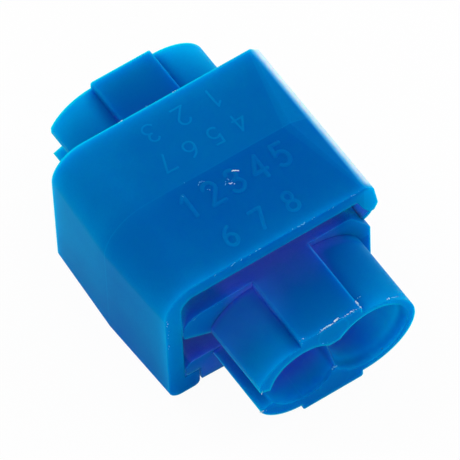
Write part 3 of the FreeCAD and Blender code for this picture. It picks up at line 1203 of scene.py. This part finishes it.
@dataclass
class CoverNumbers:
    """Plain numbers with round strokes, raised on the two slopes of the cover's top."""

    datum: Datum
    roof: Roof
    digit_width: float = 0.56
    voxel: float = 0.03
    foot: float = 0.06
    bar_resolution: int = 4
    ball_segments: int = 20
    ball_rings: int = 12
    crease_turn: float = math.radians(8)
    crease_reach: float = 0.003
    rows: list[NumberRow] = field(default_factory=lambda: [
        NumberRow("12345", -0.15, -1.7, 8.4, 1.8, Facing.FRONT, 0.28, 0.06),
        NumberRow("678", -0.4, -5.1, 5.8, 1.55, Facing.FRONT, 0.26, 0.05),
        NumberRow("4567", -0.2, 2.1, 6.8, 1.5, Facing.BACK, 0.2, 0.03),
        NumberRow("123", -0.1, 4.9, 6.0, 1.6, Facing.BACK, 0.2, 0.03),
    ])

    def bar(self, line: list[Point], closed: bool, radius: float) -> Piece:
        """Builds a run of a stroke as a bar with round ends, at 1000 times its size.

        Args:
            line: Middle line, in mm on the row's own plane.
            closed: Whether the line closes on itself.
            radius: Radius of the bar in mm.

        Returns:
            The bar.
        """
        curve = bpy.data.curves.new("stroke", "CURVE")
        curve.dimensions = "3D"
        curve.bevel_depth = radius
        curve.bevel_resolution = self.bar_resolution
        curve.use_fill_caps = True
        spline = curve.splines.new("POLY")
        spline.points.add(len(line) - 1)
        for point, (x, y) in zip(spline.points, line):
            point.co = (x, y, 0.0, 1.0)
        spline.use_cyclic_u = closed
        bar = bpy.data.objects.new("stroke", curve)
        bpy.context.scene.collection.objects.link(bar)
        Bench.pick(bar)
        bpy.ops.object.convert(target="MESH")
        parts = [bpy.context.view_layer.objects.active]
        for x, y in () if closed else (line[0], line[-1]):
            bpy.ops.object.select_all(action="DESELECT")
            bpy.ops.mesh.primitive_uv_sphere_add(
                segments=self.ball_segments, ring_count=self.ball_rings, radius=radius,
                location=(x, y, 0),
            )
            parts.append(bpy.context.view_layer.objects.active)
        return Bench.join(parts, "stroke")

    def build_row(self, row: NumberRow) -> Piece:
        """Builds one row as a low solid whose foot is sunk into its slope.

        The overlapping bars are made one skin at 1000 times their size, because
        the voxels can't be small enough at the real one.

        Args:
            row: The row.

        Returns:
            The row, with its place in its mesh.
        """
        pitch = (row.width - self.digit_width * row.height) / (len(row.digits) - 1)
        bars = []
        for place, digit in enumerate(row.digits):
            left = place * pitch - row.width / 2
            for stroke in DIGITS[digit]:
                for run in stroke.runs():
                    line = [(left + x * row.height, (y - 0.5) * row.height) for x, y in run]
                    bars.append(self.bar(line, stroke.closed, row.radius))
        piece = Bench.join(bars, "numbers")
        Bench.pick(piece)
        bpy.ops.object.transform_apply(location=True, rotation=True, scale=True)
        Bench.modify(piece, "one_skin", "REMESH", mode="VOXEL", voxel_size=self.voxel)
        foot = row.radius - row.proud - self.foot
        with Bench.edit(piece):
            bpy.ops.mesh.bisect(
                plane_co=(0, 0, foot), plane_no=(0, 0, 1), use_fill=True, clear_inner=True,
            )
        tilt = Matrix.Rotation(math.copysign(self.roof.slope, -row.y), 4, "X")
        turn = Matrix.Rotation(row.facing.value, 4, "Z")
        height = self.roof.height_at(row.y) + row.proud - row.radius
        place = Matrix.Translation(self.datum.at(row.x, row.y, height))
        piece.data.transform(place @ tilt @ turn @ Matrix.Scale(MM, 4))
        with Bench.edit(piece):
            bpy.ops.mesh.normals_make_consistent(inside=False)
        return piece

    def raise_on(self, cover: Piece) -> None:
        """Raises every row of numbers on the softened cover, as one shell with it."""
        for row in self.rows:
            Bench.unite(cover, self.build_row(row))

    def crease(self, cover: Piece) -> None:
        """Keeps the slopes flat where the numbers leave them.

        Args:
            cover: Piece of the cover, shaded smooth.
        """
        mesh = bmesh.new()
        mesh.from_mesh(cover.data)
        middle = self.datum.origin.z / MM
        for edge in mesh.edges:
            ends = [(vertex.co.y / MM, vertex.co.z / MM - middle) for vertex in edge.verts]
            level = all(abs(z - self.roof.height_at(y)) < self.crease_reach for y, z in ends)
            if level and edge.calc_face_angle(0.0) > self.crease_turn:
                edge.smooth = False
        mesh.to_mesh(cover.data)
        mesh.free()


@dataclass(frozen=True)
class Scuff:
    """A run of small burrs along a path, in mm."""

    path: tuple[Place, ...]
    count: int
    size: float
    stretch: float = 2.2
    scatter: float = 0.04


SCUFFS: dict[tuple[Body, Tint], tuple[Scuff, ...]] = {
    (Body.HOUSING, Tint.WHITE): (
        Scuff(((-0.95, -12.98, 4.16), (-0.1, -12.93, 4.2), (0.65, -12.84, 4.2)), 26, 0.05),
        Scuff(((0.65, -12.9, 4.18), (1.6, -12.86, 4.2), (2.3, -12.88, 4.18)), 16, 0.032),
        Scuff(((2.38, -12.95, 4.12), (2.42, -12.6, 4.17), (2.4, -12.3, 4.19)), 12, 0.055),
        Scuff(((-2.35, -12.98, 4.05), (-2.3, -12.55, 4.17)), 8, 0.06),
        Scuff(((-2.4, -12.75, 4.1), (-2.05, -12.85, 4.19)), 5, 0.05),
        Scuff(((4.5, -12.97, 3.42), (4.75, -12.97, 3.36)), 4, 0.04),
        Scuff(((-5.72, -12.97, 0.75), (-5.66, -12.97, 1.2)), 7, 0.045),
        Scuff(((-5.8, -12.97, -1.58), (-5.68, -12.98, -1.52), (-5.5, -12.98, -1.6)), 9, 0.05),
    ),
    # Pale scuffs, and pale lines that paint highlights on edges, such as the top edge of the run
    # jaw.
    (Body.HOUSING, Tint.LIGHT): (
        Scuff(((-1.3, -12.98, 4.15), (2.4, -12.92, 4.17)), 26, 0.05, 2.2, 0.06),
        Scuff(((2.75, -11.9, 3.5), (3.1, -11.7, 3.52)), 6, 0.06, 2.0, 0.06),
        Scuff(((4.9, -12.97, 3.3), (5.4, -12.97, 2.95)), 8, 0.035),
        Scuff(((0.0, -12.98, -1.3), (0.15, -12.98, -1.14), (0.36, -12.98, -1.2)), 9, 0.05),
        Scuff(((-0.75, -12.98, 2.6), (-0.1, -12.98, 2.15), (0.3, -12.98, 2.02)), 8, 0.04),
        Scuff(
            ((-7.3, -7.03, 3.62), (-6.7, -7.03, 3.86), (-3.6, -7.03, 3.88)), 26, 0.02, 3.5, 0.015,
        ),
    ),
    (Body.HOUSING, Tint.DARK): (
        Scuff(((4.05, -12.97, -2.3), (4.1, -12.97, -2.32)), 2, 0.045, 1.4, 0.01),
    ),
    (Body.COVER, Tint.WHITE): (
        Scuff(((-9.32, -7.03, 5.2), (-9.28, -7.03, 4.6)), 3, 0.04, 1.6, 0.05),
        Scuff(((0.1, -1.0, 8.12), (0.5, -1.25, 8.1)), 4, 0.035, 2.5, 0.02),
        Scuff(((-0.66, -1.66, 8.08), (-0.36, -1.95, 8.06)), 3, 0.035, 2.5, 0.02),
        Scuff(((-6.0, 7.0, 7.5), (-5.3, 7.02, 7.56)), 4, 0.045, 2.4, 0.03),
        Scuff(((-3.9, 7.0, 7.57), (-3.5, 7.02, 7.58)), 3, 0.04, 2.4, 0.03),
        Scuff(((0.5, 7.0, 7.57), (0.75, 7.02, 7.58)), 3, 0.04, 2.4, 0.03),
    ),
    # Pale scuffs, and pale lines that paint highlights along the cover's top and side edges.
    (Body.COVER, Tint.LIGHT): (
        Scuff(((-5.4, -7.02, 7.52), (-1.6, -7.02, 7.58)), 14, 0.045, 2.6, 0.04),
        Scuff(((0.8, -7.02, 7.58), (6.6, -7.02, 7.58)), 16, 0.035, 2.6, 0.04),
        Scuff(((-9.3, -7.03, 5.3), (-9.28, -7.03, 1.2)), 16, 0.05, 1.6, 0.09),
        Scuff(((-7.0, 7.0, 7.5), (1.2, 7.02, 7.58)), 18, 0.04, 2.4, 0.04),
        Scuff(((-9.4, 6.98, 0.4), (-9.42, 6.98, -0.3)), 5, 0.06, 1.6, 0.02),
        Scuff(((-0.96, -1.7, 8.03), (-0.6, -1.3, 8.06), (-0.29, -1.68, 8.04)), 5, 0.03, 2.5, 0.03),
        Scuff(((-2.5, -0.68, 8.1), (-2.2, -0.53, 8.11), (-1.9, -0.65, 8.1)), 7, 0.03, 2.5, 0.03),
        Scuff(((-2.2, -1.2, 8.07), (-1.69, -1.7, 8.03)), 5, 0.03, 2.5, 0.03),
        Scuff(((-3.94, -0.7, 8.11), (-3.76, -0.91, 8.1)), 3, 0.03, 2.0, 0.03),
        Scuff(((-3.85, -1.41, 8.06), (-3.8, -1.5, 8.05)), 2, 0.03, 1.5, 0.02),
        Scuff(((-3.2, 0.0, 8.13), (-3.1, 0.0, 8.13)), 2, 0.03, 1.5, 0.02),
        Scuff(((4.8, 0.0, 8.13), (4.9, 0.0, 8.13)), 2, 0.03, 1.5, 0.02),
    ),
    (Body.COVER, Tint.DARK): (
        Scuff(((-9.55, -3.34, 3.4), (-9.56, -3.3, 3.3)), 2, 0.05, 1.8, 0.02),
        Scuff(((-9.6, 2.37, 1.85), (-9.6, 2.4, 1.8)), 2, 0.05, 1.4, 0.02),
    ),
}


@dataclass
class Scuffs:
    """Whitened burrs, trimmed flash and burrs of painted highlight along the moulding's edges.

    The spreads are factors on a burr's size and stretch, and the turns are in
    radians.
    """

    datum: Datum
    low: Vector
    high: Vector
    seed: int = 7
    size_spread: Point = (0.5, 1.3)
    stretch_spread: Point = (0.6, 1.5)
    thickness: float = 0.7
    most_pitch: float = 0.5
    most_turn: float = 0.7
    finish: ScuffedPlastic = ScuffedPlastic()

    def burr(self, generator: random.Random, scuff: Scuff, share: float) -> Piece:
        """Builds one burr on the path of a scuff, inside the box of the solids.

        Args:
            generator: Source of the scatter.
            scuff: The scuff it belongs to.
            share: How far along the path it lies, from 0 to 1.

        Returns:
            The burr, with its place in its mesh.
        """
        spans = len(scuff.path) - 1
        span = min(int(share * spans), spans - 1)
        start, end = Vector(scuff.path[span]), Vector(scuff.path[span + 1])
        place = start.lerp(end, share * spans - span)
        place += Vector(generator.uniform(-scuff.scatter, scuff.scatter) for _ in range(3))
        size = scuff.size * generator.uniform(*self.size_spread)
        bpy.ops.mesh.primitive_ico_sphere_add(subdivisions=1, radius=size * MM)
        burr = bpy.context.view_layer.objects.active
        along = (end - start).to_track_quat("X", "Z").to_matrix().to_4x4()
        stretch = scuff.stretch * generator.uniform(*self.stretch_spread)
        pitch = generator.uniform(-self.most_pitch, self.most_pitch)
        turn = generator.uniform(-self.most_turn, self.most_turn)
        twist = Euler((0, pitch, turn)).to_matrix().to_4x4()
        shape = Matrix.Diagonal((stretch, 1, self.thickness, 1))
        burr.data.transform(Matrix.Translation(self.datum.at(*place)) @ along @ twist @ shape)
        for vertex in burr.data.vertices:
            limits = zip(self.low, vertex.co, self.high)
            vertex.co = Vector(sorted(values)[1] for values in limits)
        return burr

    def build(self) -> list[Piece]:
        """Builds the burrs, joined by body and tint.

        Returns:
            The pieces.
        """
        generator = random.Random(self.seed)
        pieces = []
        for (body, tint), scuffs in SCUFFS.items():
            bpy.ops.object.select_all(action="DESELECT")
            burrs = [
                self.burr(generator, scuff, (turn + generator.random()) / scuff.count)
                for scuff in scuffs for turn in range(scuff.count)
            ]
            piece = Bench.join(burrs, f"{body.value}_scuffs_{tint.name.lower()}")
            Bench.dress(piece, self.finish.material(self.datum, tint), Slot.PLASTIC)
            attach(piece, body.value)
            pieces.append(piece)
        return pieces


@dataclass(frozen=True)
class SoftLight:
    """A square soft light, with its place in degrees and metres and its power in watts."""

    name: str
    azimuth: float
    elevation: float
    power: float
    size: float = 0.5
    distance: float = 0.6

    def hang(self) -> None:
        """Hangs the light so that it faces the object."""
        away = direction(self.azimuth, self.elevation)
        data = bpy.data.lights.new(self.name, "AREA")
        data.size = self.size
        data.energy = self.power
        light = bpy.data.objects.new(self.name, data)
        bpy.context.scene.collection.objects.link(light)
        turn = away.to_track_quat("Z", "Y").to_matrix().to_4x4()
        light.matrix_world = Matrix.Translation(away * self.distance) @ turn


@dataclass
class Studio:
    """Pale floor, soft lights and the camera, which aren't part of the object."""

    datum: Datum
    azimuth: float = -31.458
    elevation: float = 56.052
    roll: float = -2.735
    distance: float = 444.484
    focus: Place = (0.025, -0.465, 0.333)
    focal_pixels: float = 6476.42
    picture_pixels: float = 460.0
    sensor: float = 36.0
    clip: Point = (0.01, 20.0)
    ambient: float = 0.55
    white: Colour = (1.0, 1.0, 1.0)
    floor_size: float = 1.6
    floor_colour: Colour = (0.9, 0.9, 0.9)
    floor_glow: float = 0.955
    lights: tuple[SoftLight, ...] = (
        SoftLight("key_far_left", 200.0, 38.0, 1.5),
        SoftLight("fill_right", 85.0, 28.0, 1.5),
        SoftLight("fill_front", -15.0, 16.0, 1.1),
    )

    def build_camera(self) -> None:
        """Sets up the camera at the angle of the photograph."""
        side, tilt = math.radians(self.azimuth), math.radians(self.roll)
        back = direction(self.azimuth, self.elevation)
        right = Vector((math.cos(side), math.sin(side), 0))
        up = back.cross(right)
        rolled_right = right * math.cos(tilt) + up * math.sin(tilt)
        rolled_up = up * math.cos(tilt) - right * math.sin(tilt)
        data = bpy.data.cameras.new("photo_camera")
        data.sensor_width = self.sensor
        data.lens = self.focal_pixels * self.sensor / self.picture_pixels
        data.clip_start, data.clip_end = self.clip
        camera = bpy.data.objects.new("photo_camera", data)
        bpy.context.scene.collection.objects.link(camera)
        place = self.datum.at(*self.focus) + back * self.distance * MM
        axes = Matrix((rolled_right, rolled_up, back)).transposed().to_4x4()
        camera.matrix_world = Matrix.Translation(place) @ axes
        bpy.context.scene.camera = camera

    def build_world(self) -> None:
        """Makes the surroundings white where they are seen, and soft grey as light."""
        world = bpy.data.worlds.new("soft_room")
        world.use_nodes = True
        tree = NodeTree(world.node_tree)
        strength = tree.add("MapRange", Value=tree.seen(), To_Min=self.ambient, To_Max=1.0)
        background = tree.add(
            "Background", Color=self.white, Strength=strength.outputs["Result"],
        )
        tree.add("OutputWorld", Surface=background.outputs["Background"])
        bpy.context.scene.world = world

    def build_floor(self) -> None:
        """Lays the pale floor, white where it is seen apart from a soft shadow."""
        bpy.ops.object.select_all(action="DESELECT")
        bpy.ops.mesh.primitive_plane_add(size=self.floor_size)
        floor = bpy.context.view_layer.objects.active
        floor.name = "studio_floor"
        material = bpy.data.materials.new("pale_floor")
        material.use_nodes = True
        tree = NodeTree(material.node_tree)
        share = tree.product(tree.seen(), self.floor_glow)
        lit = tree.add("BsdfDiffuse", Color=self.floor_colour).outputs["BSDF"]
        glow = tree.add("Emission", Color=self.white, Strength=1.0).outputs["Emission"]
        mix = tree.add("MixShader")
        for socket, value in zip(mix.inputs, (share, lit, glow)):
            tree.feed(socket, value)
        tree.add("OutputMaterial", Surface=mix.outputs["Shader"])
        floor.data.materials.append(material)
        floor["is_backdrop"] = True

    def build(self) -> None:
        """Builds the whole studio."""
        bpy.context.scene.view_settings.view_transform = "Standard"
        self.build_camera()
        self.build_world()
        self.build_floor()
        for light in self.lights:
            light.hang()


def main() -> None:
    """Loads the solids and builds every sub-assembly."""
    logging.basicConfig(level=logging.INFO, format="%(name)s: %(message)s")
    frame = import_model()
    solid_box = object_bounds()
    datum = Datum.from_record(frame["record"])
    nodes = frame["nodes"]
    low, high = (Vector(corner) for corner in solid_box)
    for part in (
        HousingMoulding(datum, nodes),
        CoverMoulding(datum, nodes),
        HingeStrap(datum, nodes),
        Contact(datum, nodes),
        Scuffs(datum, low, high),
    ):
        for piece in part.build():
            LOG.info("%s: %d faces", piece.name, len(piece.data.polygons))
    Studio(datum).build()
    bpy.context.view_layer.update()


if __name__ == "__main__":
    main()
